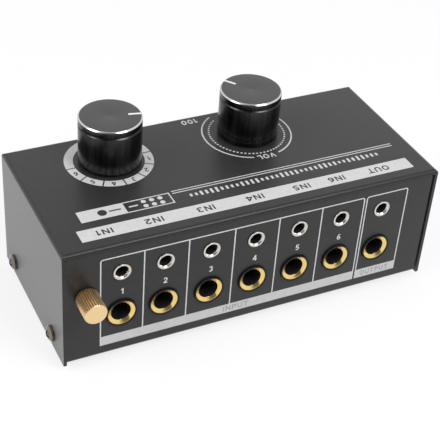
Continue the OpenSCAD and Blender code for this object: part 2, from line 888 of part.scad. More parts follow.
// Straight-knurled nut with a blind thread and a plain bevelled end
module ground_thumb_nut() {
    length = nut_reach - nut_base;
    color(brass) on_panel(ground_x, ground_z) translate([0, 0, -nut_reach]) difference() {
        intersection() {
            linear_extrude(length) polygon([for (k = [0 : 2 * knurls - 1])
                (nut_r - (k % 2) * knurl_d) * [cos(k * 180 / knurls), sin(k * 180 / knurls)]]);
            union() {
                cylinder(r1 = nut_r - nut_chamfer, r2 = nut_r + seat, h = nut_chamfer);
                translate([0, 0, nut_chamfer]) cylinder(r = nut_r + seat, h = length - nut_chamfer);
            }
        }
        translate([0, 0, nut_end_t]) cylinder(r = stud_r + run, h = length);
    }
}

// Flat cables: from a board's underside at y0 down, back and up to a terminal at y1
module ribbon(x, w, y0, z0, y1, z1) {
    low = min(z0, z1) - ribbon_drop;
    span = y1 - y0 + ribbon_t;
    tall = max(z0, z1) - low;
    color(wire_grey) case_frame() translate([x, y0 - ribbon_t / 2, low]) along_x(w) difference() {
        translate([0, tall]) mirror([0, 1]) difference() {
            arch(span, tall, ribbon_bend);
            translate([ribbon_t, -cut])
                arch(span - 2 * ribbon_t, tall - ribbon_t + cut, ribbon_bend - ribbon_t);
        }
        translate([-cut, z0 - low]) square([span / 2 + cut, tall]);
        translate([span / 2, z1 - low]) square([span, tall]);
    }
}

module selector_ribbon() {
    ribbon(selector_x, selector_ribbon_w, ribbon_y, mini_board_z,
        knob_y - terminal_ring, case_h + terminal_tip);
}

module volume_ribbon() {
    ribbon(volume_x, volume_ribbon_w, ribbon_y, mini_board_z, knob_y - lug_at, case_h + track_under - lug_h);
}

chassis();
cover();
side_screws();
feet();
board_screws();
floor_spacers();
board_spacers();
board(jack_board_z);  // jack_board
board(mini_board_z);  // mini_jack_board
board_pins();
for (i = [0 : last_column]) {
    jack_body(i);
    jack_ferrule(i);
    mini_jack_body(i);
}
jack_springs();
mini_jack_bushings();
mini_jack_springs();
switch_bushing();
switch_housing();
switch_rotor();
switch_wiper();
switch_wafer();
switch_terminals();
detent_ball();
detent_spring();
bushing_washers();
bushing_nuts();
pot_bushing();
pot_can();
pot_shaft();
pot_wiper();
pot_track();
pot_terminals();
selector_knob();
selector_knob_insert();
volume_knob();
volume_knob_insert();
ground_stud();
ground_lock_nut();
ground_washer();
ground_thumb_nut();
selector_ribbon();
volume_ribbon();
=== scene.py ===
# %% [markdown]
# # Dressing an audio source selector
# The real object is a small black steel box: seven pairs of jack sockets along one panel,
# a source knob and a volume knob on the top, and a brass ground post. The solids come from
# the CAD model, already in metres and in place. This lesson gives them finishes, adds the
# printed graphics, and turns finer skins for the knobs and the socket rings.

# %% Load the solids
import json
import math
import bpy
import numpy as np
from mathutils import Matrix, Vector


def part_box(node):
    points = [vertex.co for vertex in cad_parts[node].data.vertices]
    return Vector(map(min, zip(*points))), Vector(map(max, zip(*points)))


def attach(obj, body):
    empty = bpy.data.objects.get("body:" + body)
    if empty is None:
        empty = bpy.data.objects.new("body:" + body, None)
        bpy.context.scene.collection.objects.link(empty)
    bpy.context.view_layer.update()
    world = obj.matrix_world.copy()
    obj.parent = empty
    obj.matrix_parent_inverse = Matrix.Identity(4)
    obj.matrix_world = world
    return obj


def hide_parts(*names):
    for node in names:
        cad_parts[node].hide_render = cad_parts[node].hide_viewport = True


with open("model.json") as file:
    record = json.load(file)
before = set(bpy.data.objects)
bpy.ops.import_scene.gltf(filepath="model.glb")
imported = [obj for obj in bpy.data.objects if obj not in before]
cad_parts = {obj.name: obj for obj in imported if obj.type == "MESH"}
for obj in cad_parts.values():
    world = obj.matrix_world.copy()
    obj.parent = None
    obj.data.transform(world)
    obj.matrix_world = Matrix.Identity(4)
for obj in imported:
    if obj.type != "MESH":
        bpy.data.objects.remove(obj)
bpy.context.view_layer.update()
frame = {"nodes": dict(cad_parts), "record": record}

solids = frame["nodes"]
record = frame["record"]
scene = bpy.context.scene
mm = 0.001

# %% [markdown]
# ## Reference faces
# The case is two folded sheets: a chassis with the jack panel, and a cover with the top, the
# side walls and a rounded lip over each panel. All print lies on the jack panel or on the
# top. Their places could be typed again here, but then the print would stay behind if the
# case changed, so both faces are read from the solids' boxes. Places along the panel are
# measured from the middle of the case, depths from the panel's front, and heights from the
# lower edges of the walls.

# %% Panel, top and columns
cover_low, cover_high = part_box("cover")
panel_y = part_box("chassis")[0].y
top_z = cover_high.z
under_z = cover_low.z
column_names = ["1", "2", "3", "4", "5", "6", "out"]


def middle(node):
    """The centre of a solid's box, as an array: half the sum of its two corners."""
    low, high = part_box(node)
    return (np.array(low) + np.array(high)) / 2


socket_at = {name: middle("jack_ferrule_" + name) for name in column_names}
knob_at = {name: middle(name + "_knob") for name in ("selector", "volume")}
print("panel at y", round(panel_y / mm, 2), "top at z", round(top_z / mm, 2))
print("columns at x", [round(p[0] / mm, 1) for p in socket_at.values()])

# %% [markdown]
# ## Camera
# The photograph looks down on the box from the left end of the jack panel. The camera could
# be placed by eye, but then no edge would lie where it should. Its place and its axes come
# from fitting the case's straight edges and its sockets, with the image centre as the lens
# centre, so no shift is needed.

# %% Camera
image_side = 440
focal_pixels = 1170.88
sensor_wide = 36
nearest = 0.01
camera_place = (-0.17179, -0.31690, 0.29554)
forward = Vector((0.37944, 0.70759, -0.59610)).normalized()
rightward = Vector((0.90104, -0.42892, 0.06439))
right = (rightward - forward * rightward.dot(forward)).normalized()
up = right.cross(forward)
lens = bpy.data.cameras.new("camera")
lens.sensor_width = sensor_wide
lens.lens = focal_pixels / image_side * sensor_wide
lens.clip_start = nearest
camera = bpy.data.objects.new("camera", lens)
axes = Matrix((right, up, -forward)).transposed().to_4x4()
camera.matrix_world = Matrix.Translation(camera_place) @ axes
scene.collection.objects.link(camera)
scene.camera = camera
scene.view_settings.view_transform = "Standard"
print("lens", round(lens.lens, 1), "mm")

# %% [markdown]
# ## Studio
# The box was photographed in a white tent, so most gloss in it shows white. Walls of white
# cloth could be modelled, but they would stand in the way of other views. A world of plain
# nodes gives the same light. It is white to the camera and to reflections, and softer to
# matt surfaces, so one helper tells those kinds of ray apart. The other two join factors and
# carry them from one range to another, in the world and in the finishes alike.


# %% Factors and rays
def combined(tree, operation, one, other):
    """The result of a Math node for two sockets, or for a socket and a number."""
    node = tree.nodes.new("ShaderNodeMath")
    node.operation = operation
    tree.links.new(one, node.inputs[0])
    if isinstance(other, float):
        node.inputs[1].default_value = other
    else:
        tree.links.new(other, node.inputs[1])
    return node.outputs[0]


def ranged(tree, factor, to_low, to_high, from_low=0.0, from_high=1.0, kind="LINEAR"):
    """A factor carried from one range to another, in proportion or with eased ends."""
    span = tree.nodes.new("ShaderNodeMapRange")
    span.interpolation_type = kind
    span.inputs["From Min"].default_value = from_low
    span.inputs["From Max"].default_value = from_high
    span.inputs["To Min"].default_value = to_low
    span.inputs["To Max"].default_value = to_high
    tree.links.new(factor, span.inputs["Value"])
    return span.outputs["Result"]


def seen_directly(tree):
    """1 for camera, glossy and transmission rays, 0 for the rest: the largest of the three."""
    path = tree.nodes.new("ShaderNodeLightPath")
    largest = path.outputs["Is Camera Ray"]
    for other in ("Is Glossy Ray", "Is Transmission Ray"):
        largest = combined(tree, "MAXIMUM", largest, path.outputs[other])
    return largest


print("rays told apart: those that show the tent, and the rest")

# %% [markdown]
# ## Tent
# The camera looks in through a dim opening, which polished metal mirrors as a dark patch. A
# dark board behind the camera would do the same, and would show in other views. Here the
# opening is part of the world: a soft round patch of sky, dark to mirrored rays alone.

# %% World
fill_strength = 0.52
tent_strength = 1.0
opening_strength = 0.15
opening_way = Vector((-0.30, -0.80, 0.45)).normalized()
opening_inner = math.radians(20)
opening_outer = math.radians(52)
world = bpy.data.worlds.new("white tent")
scene.world = world
world.use_nodes = True
sky = world.node_tree
sky.nodes.clear()


def background(strength):
    """A white background of one strength."""
    node = sky.nodes.new("ShaderNodeBackground")
    node.inputs["Color"].default_value = (1, 1, 1, 1)
    node.inputs["Strength"].default_value = strength
    return node


def opening(way, inner, outer):
    """1 for mirrored rays within an inner angle of a way, falling smoothly to 0 at an outer angle."""
    place = sky.nodes.new("ShaderNodeTexCoord")
    along = sky.nodes.new("ShaderNodeVectorMath")
    along.operation = "DOT_PRODUCT"
    along.inputs[1].default_value = way
    sky.links.new(place.outputs["Generated"], along.inputs[0])
    near = ranged(sky, along.outputs["Value"], 0.0, 1.0, math.cos(outer), math.cos(inner), "SMOOTHSTEP")
    path = sky.nodes.new("ShaderNodeLightPath")
    return combined(sky, "MULTIPLY", near, path.outputs["Is Glossy Ray"])


fill = background(fill_strength)
tent = background(tent_strength)
dark_patch = opening(opening_way, opening_inner, opening_outer)
mix = sky.nodes.new("ShaderNodeMixShader")
sky_out = sky.nodes.new("ShaderNodeOutputWorld")
sky.links.new(ranged(sky, dark_patch, tent_strength, opening_strength), tent.inputs["Strength"])
sky.links.new(seen_directly(sky), mix.inputs[0])
sky.links.new(fill.outputs[0], mix.inputs[1])
sky.links.new(tent.outputs[0], mix.inputs[2])
sky.links.new(mix.outputs[0], sky_out.inputs["Surface"])
print("world:", tent_strength, "seen,", fill_strength, "as fill,", opening_strength, "in the opening")

# %% [markdown]
# ## Lamps
# Two soft lamps stand left and right of the camera. Their places follow from the two bright
# arcs on the knobs' bevels, because a bevel mirrors a lamp where its slope lies halfway
# between the lamp and the camera. Point lamps would be simpler, but they leave a hard dot in
# every bevel, so these are square area lamps.

# %% Lamps
lamp_side = 0.42
lamp_aim = Vector((0, 0, 0.03))


def soft_lamp(name, place, power):
    """A square lamp at a place, facing the aim point."""
    data = bpy.data.lights.new(name, "AREA")
    data.size = lamp_side
    data.energy = power
    lamp = bpy.data.objects.new(name, data)
    lamp.location = place
    lamp.rotation_euler = (lamp_aim - Vector(place)).to_track_quat("-Z", "Y").to_euler()
    scene.collection.objects.link(lamp)
    print(name, "at", place, "with", power, "watts")


soft_lamp("left_lamp", (-0.72, 0.03, 0.67), 2.6)
soft_lamp("right_lamp", (0.28, -0.61, 0.74), 4.4)

# %% [markdown]
# ## Floor
# The floor is white paper to the light that bounces off it. A plain white sheet would look
# grey in the picture, and more light on it would wash out the box. Seen directly it shows
# mostly a plain white of its own, and a smaller share of the light and shadow on it.

# %% Floor
floor_z = -0.02 * mm
floor_half = 6.0
paper_bounce = 0.8
paper_shaded = 0.25
paper_white = 0.77


def flat_sheet(name, half, height):
    """A square sheet: corners at plus and minus half along x and y, at one height."""
    corners = np.array([[-1, -1], [1, -1], [1, 1], [-1, 1]]) * half
    mesh = bpy.data.meshes.new(name)
    mesh.from_pydata(np.c_[corners, np.full(4, height)].tolist(), [], [(0, 1, 2, 3)])
    sheet = bpy.data.objects.new(name, mesh)
    scene.collection.objects.link(sheet)
    return sheet


floor = flat_sheet("floor", floor_half, floor_z)
paper = bpy.data.materials.new("white paper")
paper.use_nodes = True
tree = paper.node_tree
tree.nodes.clear()
matt = tree.nodes.new("ShaderNodeBsdfDiffuse")
white = tree.nodes.new("ShaderNodeEmission")
shown = seen_directly(tree)
tree.links.new(ranged(tree, shown, paper_bounce, paper_shaded), matt.inputs["Color"])
tree.links.new(ranged(tree, shown, 0.0, paper_white), white.inputs["Strength"])
both = tree.nodes.new("ShaderNodeAddShader")
paper_out = tree.nodes.new("ShaderNodeOutputMaterial")
tree.links.new(matt.outputs[0], both.inputs[0])
tree.links.new(white.outputs[0], both.inputs[1])
tree.links.new(both.outputs[0], paper_out.inputs["Surface"])
floor.data.materials.append(paper)
print("floor at z in mm", round(floor_z / mm, 3))

# %% [markdown]
# ## How a finish is put together
# A real surface is never one even colour. A painted picture could carry the variation, but
# it needs a file and a map. Each finish here is one Principled shader whose colour and
# roughness drift with noise, and whose normal is roughened by a finer noise. The size of
# the noise is given in millimetres, because the object coordinates of every piece are metres
# in the same frame.

# %% Noise and what it drives
even = (1, 1, 1)
plain_ior = 1.5
noise_low, noise_high = 0.3, 0.7


def new_finish(name, metallic=0.0, ior=plain_ior):
    """An empty material with one Principled shader, and its node tree."""
    material = bpy.data.materials.new(name)
    material.use_nodes = True
    shader = material.node_tree.nodes["Principled BSDF"]
    shader.inputs["Metallic"].default_value = metallic
    shader.inputs["IOR"].default_value = ior
    return material, material.node_tree, shader


def noise_over(tree, place, scale, detail, dimensions="3D"):
    """Noise over a place's coordinates, each multiplied by its own scale."""
    mapping = tree.nodes.new("ShaderNodeMapping")
    mapping.inputs["Scale"].default_value = scale
    noise = tree.nodes.new("ShaderNodeTexNoise")
    noise.noise_dimensions = dimensions
    noise.inputs["Scale"].default_value = 1.0
    noise.inputs["Detail"].default_value = detail
    tree.links.new(place, mapping.inputs["Vector"])
    tree.links.new(mapping.outputs["Vector"], noise.inputs["Vector"])
    return noise.outputs["Fac"]


def grain(tree, size_mm, stretch=even, detail=2.0):
    """Noise whose lumps are about size_mm across, pulled out along the axes by stretch."""
    place = tree.nodes.new("ShaderNodeTexCoord")
    scale = [1 / (size_mm * mm * s) for s in stretch]
    return noise_over(tree, place.outputs["Object"], scale, detail)


def drift(tree, shader, factor, dark, light):
    """Base colour that runs from dark to light with a factor, over the middle of its range."""
    ramp = tree.nodes.new("ShaderNodeValToRGB")
    ramp.color_ramp.elements[0].position = noise_low
    ramp.color_ramp.elements[1].position = noise_high
    ramp.color_ramp.elements[0].color = (*dark, 1)
    ramp.color_ramp.elements[1].color = (*light, 1)
    tree.links.new(factor, ramp.inputs["Fac"])
    tree.links.new(ramp.outputs["Color"], shader.inputs["Base Color"])


def polish(tree, shader, factor, low, high):
    """Roughness that runs from low to high with a factor, over the middle of its range."""
    tree.links.new(ranged(tree, factor, low, high, noise_low, noise_high), shader.inputs["Roughness"])


def relief(tree, shader, factor, depth_mm, strength=0.5):
    """Bumps as high as depth_mm that follow a factor."""
    bump = tree.nodes.new("ShaderNodeBump")
    bump.inputs["Strength"].default_value = strength
    bump.inputs["Distance"].default_value = depth_mm * mm
    tree.links.new(factor, bump.inputs["Height"])
    tree.links.new(bump.outputs["Normal"], shader.inputs["Normal"])


print("noise counts between", noise_low, "and", noise_high)

# %% [markdown]
# ## Plain finish
# Most finishes of the box differ only in numbers, so one recipe makes them all, and a finish
# is one row of values.

# %% Recipe
fine_detail = 3.0
drift_lumps = 6


def plain_finish(name, dark, light, rough, lump_mm, bump_mm, metallic=0.0, stretch=even, ior=plain_ior):
    """A finish from two noises: a wide one for colour, and a fine one for gloss and relief."""
    material, tree, shader = new_finish(name, metallic, ior)
    wide = grain(tree, lump_mm * drift_lumps, stretch)
    fine = grain(tree, lump_mm, stretch, fine_detail)
    drift(tree, shader, wide, dark, light)
    polish(tree, shader, fine, *rough)
    relief(tree, shader, fine, bump_mm)
    return material


print("colour drifts over", drift_lumps, "lumps of the relief")

# %% [markdown]
# ## Black powder coat
# The case is folded steel with a satin black coat. Baked powder leaves a faint orange-peel
# surface about half a millimetre from lump to lump. Seen at a low angle the coat mirrors
# the white tent, and its fine matting agent adds a pale bloom, which is why the end wall
# looks grey although the coat is nearly black. A lighter colour would grey the wall too, but
# also the top and the panel, so the bloom is the shader's sheen.

# %% Case paint
case_paint = plain_finish("case_paint", (0.0125, 0.0125, 0.0128), (0.0165, 0.0164, 0.0166), (0.29, 0.39),
                          lump_mm=0.45, bump_mm=0.012, ior=1.38)
bloom = case_paint.node_tree.nodes["Principled BSDF"]
bloom.inputs["Sheen Weight"].default_value = 0.85
bloom.inputs["Sheen Roughness"].default_value = 0.35
print("made", case_paint.name)

# %% [markdown]
# ## Plated and turned metals
# The metals differ mainly in tint and in how far the tool marks run. Each could have its own
# node tree, but the plain recipe serves them all. A row gives the dark and the light colour,
# the range of roughness, and the lumps' size and height in millimetres. Turned spacers and
# rolled spring strip have streaks, so their noise is pulled out along some axes. The finish
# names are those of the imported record.

# %% Metals
metals = {
    "screw_nickel": ((0.17, 0.15, 0.125), (0.27, 0.24, 0.20), (0.08, 0.16), 0.20, 0.003),
    "spacer_brass": ((0.62, 0.42, 0.16), (0.74, 0.53, 0.23), (0.25, 0.38), 0.15, 0.004),
    "ferrule_gilt": ((0.78, 0.54, 0.17), (0.86, 0.62, 0.23), (0.16, 0.26), 0.20, 0.003),
    "spring_metal": ((0.55, 0.54, 0.50), (0.66, 0.65, 0.60), (0.25, 0.38), 0.12, 0.004),
    "bush_nickel": ((0.70, 0.67, 0.63), (0.80, 0.77, 0.73), (0.14, 0.24), 0.20, 0.003),
    "switch_metal": ((0.54, 0.53, 0.50), (0.66, 0.65, 0.61), (0.26, 0.40), 0.15, 0.004),
    "contact_brass": ((0.62, 0.42, 0.17), (0.72, 0.52, 0.24), (0.24, 0.36), 0.12, 0.004),
    "ground_brass": ((0.72, 0.50, 0.25), (0.82, 0.60, 0.33), (0.30, 0.42), 0.16, 0.006),
}
metal_streaks = {"spacer_brass": (6, 6, 1), "spring_metal": (1, 8, 1)}
finishes = {"case_paint": case_paint}
for slot, look in metals.items():
    finishes[slot] = plain_finish(slot, *look, metallic=1.0, stretch=metal_streaks.get(slot, even))
print("metals:", len(metals))

# %% [markdown]
# ## Plastics, rubber and boards
# These are duller than the metals, and their relief is the texture of the mould. Paper
# laminate and flat cable have a grain. The jack mouldings mirror less than the rest.

# %% Moulded finishes
moulded = {
    "foot_rubber": ((0.012, 0.012, 0.012), (0.022, 0.022, 0.022), (0.68, 0.82), 0.35, 0.03),
    "board_laminate": ((0.008, 0.075, 0.035), (0.015, 0.11, 0.055), (0.28, 0.40), 0.30, 0.01),
    "jack_plastic": ((0.007, 0.007, 0.008), (0.013, 0.013, 0.014), (0.30, 0.42), 0.25, 0.008),
    "switch_plastic": ((0.012, 0.012, 0.013), (0.020, 0.020, 0.022), (0.38, 0.52), 0.30, 0.012),
    "phenolic": ((0.16, 0.075, 0.022), (0.23, 0.11, 0.036), (0.42, 0.56), 0.25, 0.01),
    "knob_core": ((0.012, 0.012, 0.012), (0.020, 0.020, 0.020), (0.44, 0.58), 0.30, 0.012),
    "cable_grey": ((0.20, 0.205, 0.215), (0.27, 0.275, 0.285), (0.46, 0.60), 0.40, 0.02),
}
moulded_streaks = {"phenolic": (5, 1, 1), "cable_grey": (1, 6, 6)}
moulded_ior = {"jack_plastic": 1.28}
for slot, look in moulded.items():
    finishes[slot] = plain_finish(slot, *look, stretch=moulded_streaks.get(slot, even),
                                  ior=moulded_ior.get(slot, plain_ior))
print("finishes in all:", len(finishes))

# %% [markdown]
# ## Turned skins
# The knobs, the gilt socket rings and the small nickel bushings are lathe work. A Screw
# modifier could turn a drawn profile, but here a turned solid is worked out as a surface of
# two parameters: how far along the profile, and how far around the axis. The grid's own
# coordinates then become its UV map, so that a finish can draw tool marks that follow the
# lathe, and the corners can be rounded finer than in the solids.

# %% Profile along an axis
short_side_share = 0.45


def softened(profile, radius, steps=4):
    """Rounds each corner of a closed polygon.

    A corner becomes a quadratic curve: from a point one radius before it to a point one
    radius after it, drawn towards the corner itself. Along a short side the radius is cut to
    a little under half of that side.
    """
    points = np.asarray(profile, float)
    before = np.roll(points, 1, 0) - points
    after = np.roll(points, -1, 0) - points
    reach_in = np.linalg.norm(before, axis=1, keepdims=True)
    reach_out = np.linalg.norm(after, axis=1, keepdims=True)
    cut = np.minimum(radius, short_side_share * np.minimum(reach_in, reach_out))
    start = (points + before / reach_in * cut)[:, None]
    end = (points + after / reach_out * cut)[:, None]
    t = np.linspace(0, 1, steps)[None, :, None]
    curve = (1 - t) ** 2 * start + 2 * t * (1 - t) * points[:, None] + t ** 2 * end
    return curve.reshape(-1, 2)


def turned_ring(profile, around):
    """Carries a closed profile of (radius, height) once around the axis.

    Point (i, j) is radius_i times (cos a_j, sin a_j), at height_i, with a_j evenly spaced.
    Returns the points, the quads and, for each corner of each quad, u in turns around the
    axis and v in mm along the profile.
    """
    angle = np.arange(around) * 2 * np.pi / around
    radius, height = profile[:, :1], profile[:, 1:]
    grid = np.stack([radius * np.cos(angle), radius * np.sin(angle), height + 0 * angle], -1)
    i, j = np.meshgrid(np.arange(len(profile)), np.arange(around), indexing="ij")
    i_next, j_next = (i + 1) % len(profile), (j + 1) % around
    corners = [(i, j), (i, j_next), (i_next, j_next), (i_next, j)]
    quads = np.stack([row * around + column for row, column in corners], -1)
    sides = np.diff(profile, axis=0, append=profile[:1])
    along = np.r_[0, np.cumsum(np.linalg.norm(sides, axis=1))] / mm
    u = np.stack([j, j + 1, j + 1, j], -1) / around
    v = np.stack([along[i], along[i], along[i + 1], along[i + 1]], -1)
    return grid.reshape(-1, 3), quads.reshape(-1, 4), np.stack([u, v], -1).reshape(-1, 2)


square = softened([(1, 0), (2, 0), (2, 1), (1, 1)], 0.2)
print("a softened square:", len(square), "points; in 8 steps:", len(turned_ring(square, 8)[1]), "quads")

# %% [markdown]
# ## From arrays to a piece
# An array becomes a mesh, and the mesh an object that rides on one of the CAD's bodies. The
# edit mode's operators could build it face by face, but handing over whole arrays is faster
# and gives the same mesh each run. The signed volume tells whether the faces point outwards.

# %% Piece maker
sharp_edge = math.radians(35)


def make_piece(name, points, quads, materials, body, uv=None, shade=None, smooth=True):
    """A piece from points and quads that face outwards; shade gives each quad's material by number."""
    mesh = bpy.data.meshes.new(name)
    mesh.from_pydata(points.tolist(), [], quads.tolist())
    if uv is not None:
        mesh.uv_layers.new(name="turned").data.foreach_set("uv", uv.astype(np.float32).ravel())
    mesh.polygons.foreach_set("use_smooth", np.full(len(quads), smooth))
    if smooth:
        mesh.set_sharp_from_angle(angle=sharp_edge)
    for material in materials:
        mesh.materials.append(material)
    if shade is not None:
        mesh.polygons.foreach_set("material_index", shade.astype(np.int32))
    mesh.update()
    piece = bpy.data.objects.new(name, mesh)
    scene.collection.objects.link(piece)
    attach(piece, body)
    return piece


def joined(bits):
    """One mesh from several: each quad's corners are counted on past the points of the bits before it."""
    starts = np.cumsum([0] + [len(points) for points, quads in bits[:-1]])
    quads = np.vstack([quads + start for (points, quads), start in zip(bits, starts)])
    return np.vstack([points for points, quads in bits]), quads


def volume_of(points, quads):
    """Signed volume of a closed mesh of quads, positive where the faces point outwards.

    A quad is two triangles, and each triangle spans a tetrahedron with the origin, which is
    a sixth of the triple product of its corners.
    """
    a, b, c, d = (points[quads[:, k]] for k in range(4))
    return float((a * (np.cross(b, c) + np.cross(c, d))).sum() / 6)


print("volume of the turned square:", round(volume_of(*turned_ring(square, 96)[:2]), 2))

# %% [markdown]
# ## Lathe marks
# On turned metal the marks run around the axis, so the noise is stretched along u and
# tight along v of the UV map. The gloss varies from mark to mark, which draws the light
# out into soft fans. An anisotropic shader would do that too, but it shows no single mark.
# The knobs' sides were brushed lengthwise before they were blacked, so their streaks run the
# other way: short around and long along. A row is as before, with the marks for the lumps.

# %% Turned finishes
mark_strength = 0.35
lathe_looks = {
    "knob_side": ((0.030, 0.030, 0.032), (0.054, 0.054, 0.056), (0.20, 0.28), 30.0, 0.001),
    "knob_face": ((0.092, 0.092, 0.093), (0.125, 0.125, 0.126), (0.34, 0.46), 0.06, 0.004),
    "knob_bevel": ((0.56, 0.56, 0.56), (0.66, 0.66, 0.66), (0.12, 0.20), 0.08, 0.002),
    "ring_gilt": ((0.76, 0.55, 0.19), (0.88, 0.67, 0.28), (0.10, 0.18), 0.12, 0.003),
    "bush_bright": ((0.60, 0.57, 0.53), (0.72, 0.69, 0.64), (0.18, 0.28), 0.12, 0.003),
    # Painted shade: a near-black finish for the plated faces down the socket bores.
    "socket_inside": ((0.010, 0.010, 0.011), (0.020, 0.019, 0.018), (0.10, 0.20), 0.20, 0.004),
}
lathe_more = {"knob_side": {"around": 36.0}, "socket_inside": {"metallic": 0.0}}


def turned_finish(name, dark, light, rough, mark_mm, bump_mm, metallic=1.0, around=7.0):
    """A finish with its noise in the turned UV map: around lumps per turn, mark_mm long along the profile."""
    material, tree, shader = new_finish(name, metallic)
    place = tree.nodes.new("ShaderNodeUVMap")
    place.uv_map = "turned"
    marks = noise_over(tree, place.outputs["UV"], (around, 1 / mark_mm, 1.0), fine_detail, "2D")
    drift(tree, shader, marks, dark, light)
    polish(tree, shader, marks, *rough)
    relief(tree, shader, marks, bump_mm, mark_strength)
    return material


lathe = {}
for name, look in lathe_looks.items():
    lathe[name] = turned_finish(name, *look, **lathe_more.get(name, {}))
print("turned finishes:", list(lathe))

# %% [markdown]
# ## Knobs
# Each knob is an aluminium shell, anodised black, with a bevel cut bright afterwards and a
# thin groove under it. Its profile runs from the hollow underside, up the outside, over
# the bevel and across the face almost to the axis, where a hole too small to see is left, so
# that the whole knob is one ring with no pole. The finish of each quad follows from where its
# middle lies.

# %% Knob shells
bevel = 0.5 * mm
paint_rise = 0.015 * mm
knob_wall = 1.5 * mm
knob_cap = 1.5 * mm
groove = 0.45 * mm
groove_drop = 2.5 * mm
foot_chamfer = 0.3 * mm
centre_hole = 0.02 * mm
knob_edge = 0.06 * mm
knob_edge_steps = 3
knob_around = 160
face_skin = 0.01 * mm
bevel_skin = 0.04 * mm


def knob_profile(rim, foot, top):
    """Profile of a knob as (radius, height): up the outside, over the face to the axis, and back inside."""
    cut = top - bevel - groove_drop
    inner = rim - knob_wall
    return np.array([
        [inner, foot], [rim - foot_chamfer, foot], [rim, foot + foot_chamfer],
        [rim, cut - groove], [rim - groove, cut], [rim, cut + groove],
        [rim, top - bevel], [rim - bevel, top], [centre_hole, top],
        [centre_hole, top - knob_cap], [inner, top - knob_cap]])


def knob_shell(name):
    """A turned knob in place of the solid one, with other finishes on its bevel and its face."""
    low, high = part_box(name + "_knob")
    rim = (high.x - low.x) / 2
    top = high.z - paint_rise
    profile = softened(knob_profile(rim, low.z, top), knob_edge, knob_edge_steps)
    points, quads, uv = turned_ring(profile, knob_around)
    centre = points[quads].mean(1)
    reach, height = np.hypot(centre[:, 0], centre[:, 1]), centre[:, 2]
    on_face = (height > top - face_skin) & (reach < rim - bevel)
    on_bevel = (height > top - bevel) & (reach > rim - bevel - bevel_skin) & ~on_face
    shade = np.where(on_face, 2, np.where(on_bevel, 1, 0))
    points = points + [*knob_at[name][:2], 0]
    finish = [lathe["knob_side"], lathe["knob_bevel"], lathe["knob_face"]]
    piece = make_piece(name + "_knob_shell", points, quads, finish, name, uv, shade)
    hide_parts(name + "_knob")
    print(piece.name, "quads", len(quads), "volume in cm3", round(volume_of(points, quads) * 1e6, 3))


for name in knob_at:
    knob_shell(name)

# %% [markdown]
# ## Socket rings
# Each large socket has a gilt ferrule: a dished rim and a sleeve that takes the plug. Each
# small socket has a nickel bushing with a short mouth. Both follow the solids' profiles,
# with the sharp edges broken as plating leaves them, so their outer sizes are read from the
# solids and their bores from the record's mounts. Only the mouth keeps the bright plating;
# past it the faces inside get a near-black finish, which is painted shade down the bore.

# %% Ring in the panel
plated_edge = 0.12 * mm
bore_r = {mount["name"]: mount["dims"]["r_mm"] * mm for mount in record["mounts"] if mount["kind"] == "bore"}


def reach_through(node):
    """How far a solid lies before the panel's front, as a negative depth, and how far behind it."""
    low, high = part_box(node)
    return low.y - panel_y, high.y - panel_y


def socket_ring(profile, shaded_bore_r, around, x, z):
    """A turned ring whose height runs inwards from the panel's front, around an axis at (x, z).

    Returns its points, quads, UV map and, for each quad, whether it lies near enough to the
    axis to take the dark finish that paints the shade down the bore. Laying the axis along y
    mirrors the ring, so each quad is listed backwards.
    """
    points, quads, uv = turned_ring(softened(profile, plated_edge), around)
    # Painted shade: quads near the axis, down the bore, take the dark finish.
    inside = np.linalg.norm(points[quads].mean(1)[:, :2], axis=1) < shaded_bore_r
    points = np.stack([x + points[:, 0], panel_y + points[:, 2], z + points[:, 1]], -1)
    uv = uv.reshape(-1, 4, 2)[:, ::-1].reshape(-1, 2)
    return points, quads[:, ::-1], uv, inside


print("bores in mm:", sorted({round(r / mm, 2) for r in bore_r.values()}))

# %% [markdown]
# ## Gilt ferrules
# A ferrule's profile starts at the rim's edge, runs down the dish into the mouth and the
# bore, and comes back along the outside of the sleeve. Each ring is a piece of its own.

# %% Ferrules
flange_r = (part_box("jack_ferrule_1")[1].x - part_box("jack_ferrule_1")[0].x) / 2
flange_edge = 0.15 * mm
flange_back = 0.5 * mm
dish_r, dish_depth = 3.7 * mm, 0.25 * mm
ferrule_mouth = 1.5 * mm
sleeve_r = 4.2 * mm
# Inside this radius the ferrule is painted dark as shade down the bore.
ferrule_shaded_bore_r = 3.75 * mm
ferrule_around = 96
ferrule_finish = [lathe["ring_gilt"], lathe["socket_inside"]]
ferrule_front, ferrule_back = reach_through("jack_ferrule_1")
ferrule_profile = [
    [flange_r, ferrule_front], [flange_r - flange_edge, ferrule_front], [dish_r, dish_depth],
    [bore_r["jack_1"], ferrule_mouth], [bore_r["jack_1"], ferrule_back], [sleeve_r, ferrule_back],
    [sleeve_r, flange_back], [flange_r, flange_back]]
for name, (x, y, z) in socket_at.items():
    points, quads, uv, inside = socket_ring(ferrule_profile, ferrule_shaded_bore_r, ferrule_around, x, z)
    ring = make_piece("ferrule_ring_" + name, points, quads, ferrule_finish, "case", uv, inside)
    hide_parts("jack_ferrule_" + name)
print("volume of a ferrule in mm3", round(volume_of(points, quads) / mm ** 3, 1))

# %% [markdown]
# ## Nickel bushings
# The seven small bushings are alike, and one solid node holds them all, so their rings are
# joined into one piece that replaces it.

